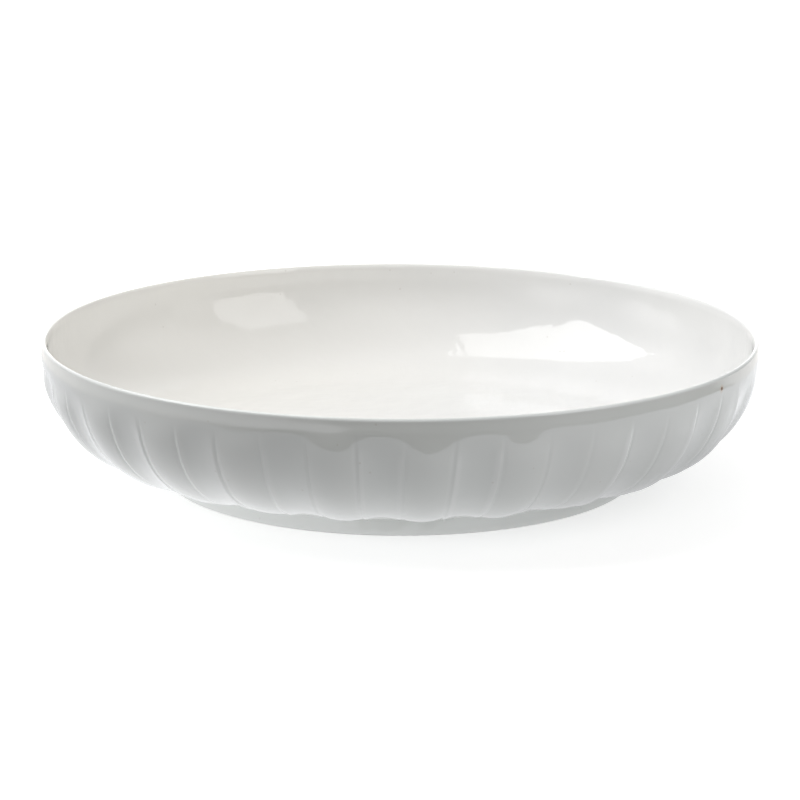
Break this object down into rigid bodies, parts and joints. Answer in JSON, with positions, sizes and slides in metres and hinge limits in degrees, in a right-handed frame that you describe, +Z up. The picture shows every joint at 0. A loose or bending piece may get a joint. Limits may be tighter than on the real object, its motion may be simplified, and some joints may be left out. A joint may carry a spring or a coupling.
{
  "type": "porcelain serving bowl",
  "caption": "Shallow porcelain serving bowl, its wall carved outside into upright petals, with a smooth glazed inside, a plain rounded lip and a foot ring.",
  "frame": {"origin": "on the surface that the bowl stands on, at the bowl's axis", "axes": "+Z up along the bowl's axis, -Y towards the front"},
  "size_m": [0.3, 0.3, 0.06],
  "materials": {
    "porcelain_clay": "fired porcelain clay under glaze",
    "bare_foot": "unglazed, matt, slightly toasted biscuit",
    "outside_glaze": "glossy clear white glaze, faintly cool",
    "inside_glaze": "glossy clear white glaze, even",
    "underside_glaze": "glossy clear white glaze"
  },
  "bodies": {
    "root": {"porcelain_body": "porcelain_clay", "foot_ring": "bare_foot", "exterior_glaze": "outside_glaze", "interior_glaze": "inside_glaze", "foot_well_glaze": "underside_glaze"}
  },
  "joints": []
}
